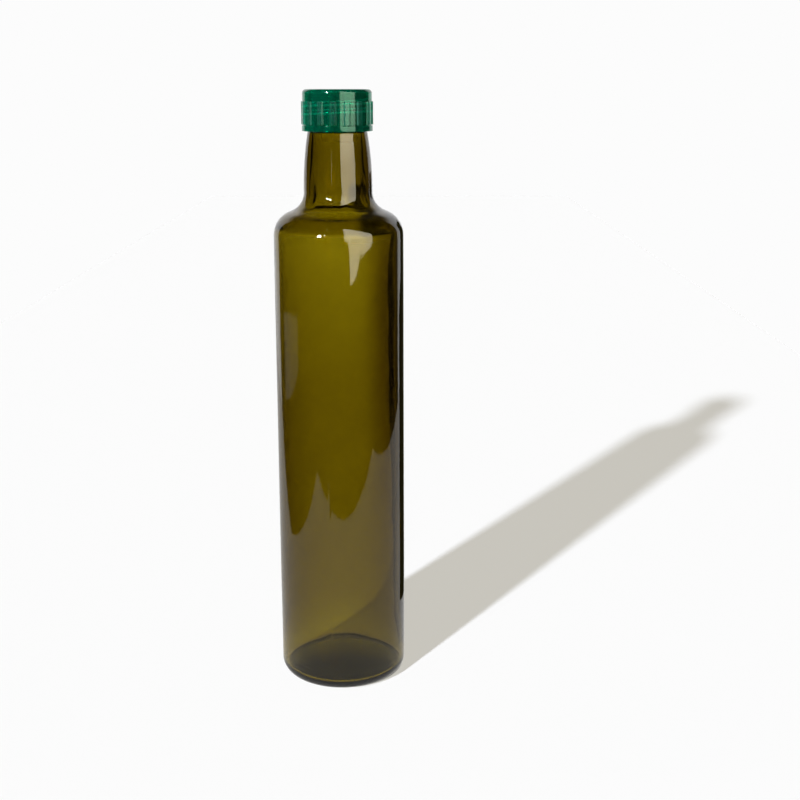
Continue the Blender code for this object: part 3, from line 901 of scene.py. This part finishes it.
def make_blind_card(dark):
    """Stand a blind of dark slats by the right side, which only rays bent by the glass see."""
    points = []
    slats = []
    along = Vector((math.sin(SLAT_ANGLE), math.cos(SLAT_ANGLE), 0.0)) * SLAT_HALF_WIDTH
    top = Vector((0.0, 0.0, SLAT_TOP_Z))
    for index in range(SLAT_COUNT):
        middle = Vector((SLAT_START + SLAT_GAP * index, SLAT_Y, 0.0))
        points += [middle - along, middle + along, middle + along + top, middle - along + top]
        slats.append(tuple(range(4 * index, 4 * index + 4)))
    blind = reflection_card("blind_card", points, slats, dark, inside=True)
    blind.visible_glossy = False


def make_shaded_backdrop():
    """Darken the backdrop behind the right of the shoulder, for rays bent by the glass alone."""
    shade = new_material("Shaded backdrop")
    tree = shade.node_tree
    place = add_node(tree, "ShaderNodeTexCoord")
    axes = add_node(tree, "ShaderNodeSeparateXYZ", None, {"Vector": place.outputs["Object"]})
    depth = multiply(
        tree, smooth_range(tree, axes.outputs["X"], *SHADE_STARTS_X, 0.0, 1.0),
        smooth_range(tree, axes.outputs["Z"], *SHADE_STARTS_Z, 0.0, 1.0))
    depth = multiply(tree, depth, smooth_range(tree, axes.outputs["Z"], *SHADE_ENDS_Z, 1.0, 0.0))
    light = smooth_range(tree, depth, 0.0, 1.0, *SHADE_LIGHT)
    glow = add_node(tree, "ShaderNodeEmission", None, {"Color": light})
    add_node(tree, "ShaderNodeOutputMaterial", None, {"Surface": glow.outputs["Emission"]})
    points = [
        (0.0, SHADE_Y, SHADE_FOOT_Z), (SHADE_WIDTH, SHADE_Y, SHADE_FOOT_Z),
        (SHADE_WIDTH, SHADE_Y, SHADE_TOP_Z), (0.0, SHADE_Y, SHADE_TOP_Z)]
    backdrop = reflection_card("shaded_backdrop", points, [(0, 1, 2, 3)], shade, inside=True)
    backdrop.visible_glossy = False


def make_glint_card():
    """Hang a small bright card where the key light is, for the glass and cap to mirror."""
    glint = glowing("Key light glint", linear("#FFFFFC"), 180.0)
    middle = Vector(around(
        math.degrees(SUN_AZIMUTH), GLINT_DISTANCE * math.cos(SUN_ELEVATION),
        GLINT_DISTANCE * math.sin(SUN_ELEVATION)))
    across = Vector((math.cos(SUN_AZIMUTH), math.sin(SUN_AZIMUTH), 0.0)) * GLINT_HALF_WIDTH
    upward = middle.cross(across).normalized() * GLINT_HALF_HEIGHT
    points = [
        middle - across - upward, middle + across - upward,
        middle + across + upward, middle - across + upward]
    reflection_card("glint_card", points, [(0, 1, 2, 3)], glint, inside=True)


def make_cards(settings):
    """Place what the glass mirrors and bends: the table, the window, the room and dark cards."""
    make_table_card()
    make_window_card(settings)
    make_wall_card()
    dark = glowing("Black flag", linear("#302C16"), 1.0)
    make_flag_card(dark)
    make_blind_card(dark)
    make_shaded_backdrop()
    make_glint_card()


def make_sun(settings):
    """Hang the key light to the front left, low enough to throw a long shadow."""
    light = bpy.data.lights.new("key_light", 'SUN')
    light.energy = settings.sun
    light.angle = SUN_SIZE
    light.color = settings.sun_colour
    sun = bpy.data.objects.new("key_light", light)
    bpy.context.scene.collection.objects.link(sun)
    level = math.cos(SUN_ELEVATION)
    towards = Vector((
        level * math.sin(SUN_AZIMUTH), -level * math.cos(SUN_AZIMUTH), math.sin(SUN_ELEVATION)))
    sun.rotation_euler = towards.to_track_quat('Z', 'Y').to_euler()


def make_camera():
    """Stand the camera at the photograph's viewing angle."""
    lens = bpy.data.cameras.new("camera")
    lens.sensor_width = 36.0
    lens.lens = CAMERA_FOCAL
    lens.shift_y = CAMERA_SHIFT
    lens.clip_end = 100.0
    camera = bpy.data.objects.new("camera", lens)
    bpy.context.scene.collection.objects.link(camera)
    camera.location = CAMERA_PLACE
    camera.rotation_euler = (math.pi / 2 - CAMERA_PITCH, 0.0, 0.0)
    bpy.context.scene.camera = camera


class OILBOTTLE_OT_glass(bpy.types.Operator):
    """Blow the empty bottle from olive green glass"""
    bl_idname = "oilbottle.glass"
    bl_label = "Glass Bottle"

    def execute(self, context):
        settings = context.scene.oil_bottle_glass
        mesh = build_glass(settings)
        glass = blown_container_glass(settings)
        place_piece("glass_bottle", mesh, glass, "bottle")
        return {'FINISHED'}


class OILBOTTLE_OT_cap(bpy.types.Operator):
    """Mould the ribbed green screw cap"""
    bl_idname = "oilbottle.cap"
    bl_label = "Screw Cap"

    def execute(self, context):
        settings = context.scene.oil_bottle_cap
        mesh = build_cap()
        plastic = moulded_cap_plastic(settings)
        place_piece("moulded_screw_cap", mesh, plastic, "screw_cap")
        return {'FINISHED'}


class OILBOTTLE_OT_studio(bpy.types.Operator):
    """Set up the white floor, the light, the mirrored cards and the camera"""
    bl_idname = "oilbottle.studio"
    bl_label = "White Studio"

    def execute(self, context):
        settings = context.scene.oil_bottle_studio
        make_floor()
        make_cards(settings)
        make_sun(settings)
        make_world(settings)
        make_camera()
        context.scene.view_settings.view_transform = 'Standard'
        return {'FINISHED'}


class OILBOTTLE_PT_panel(bpy.types.Panel):
    """Buttons and sizes for the oil bottle"""
    bl_idname = "OILBOTTLE_PT_panel"
    bl_label = "Oil Bottle"
    bl_space_type = 'VIEW_3D'
    bl_region_type = 'UI'
    bl_category = "Oil Bottle"

    def draw(self, context):
        for operator, group in (
                (OILBOTTLE_OT_glass, context.scene.oil_bottle_glass),
                (OILBOTTLE_OT_cap, context.scene.oil_bottle_cap),
                (OILBOTTLE_OT_studio, context.scene.oil_bottle_studio)):
            box = self.layout.box()
            box.operator(operator.bl_idname)
            for name in group.__annotations__:
                box.prop(group, name)


CLASSES = (
    GlassSettings, CapSettings, StudioSettings,
    OILBOTTLE_OT_glass, OILBOTTLE_OT_cap, OILBOTTLE_OT_studio, OILBOTTLE_PT_panel)


def register():
    for item in CLASSES:
        bpy.utils.register_class(item)
    bpy.types.Scene.oil_bottle_glass = PointerProperty(type=GlassSettings)
    bpy.types.Scene.oil_bottle_cap = PointerProperty(type=CapSettings)
    bpy.types.Scene.oil_bottle_studio = PointerProperty(type=StudioSettings)


def unregister():
    del bpy.types.Scene.oil_bottle_studio
    del bpy.types.Scene.oil_bottle_cap
    del bpy.types.Scene.oil_bottle_glass
    for item in reversed(CLASSES):
        bpy.utils.unregister_class(item)


def main():
    register()
    bpy.ops.oilbottle.studio()
    bpy.ops.oilbottle.glass()
    bpy.ops.oilbottle.cap()


if __name__ == "__main__":
    main()
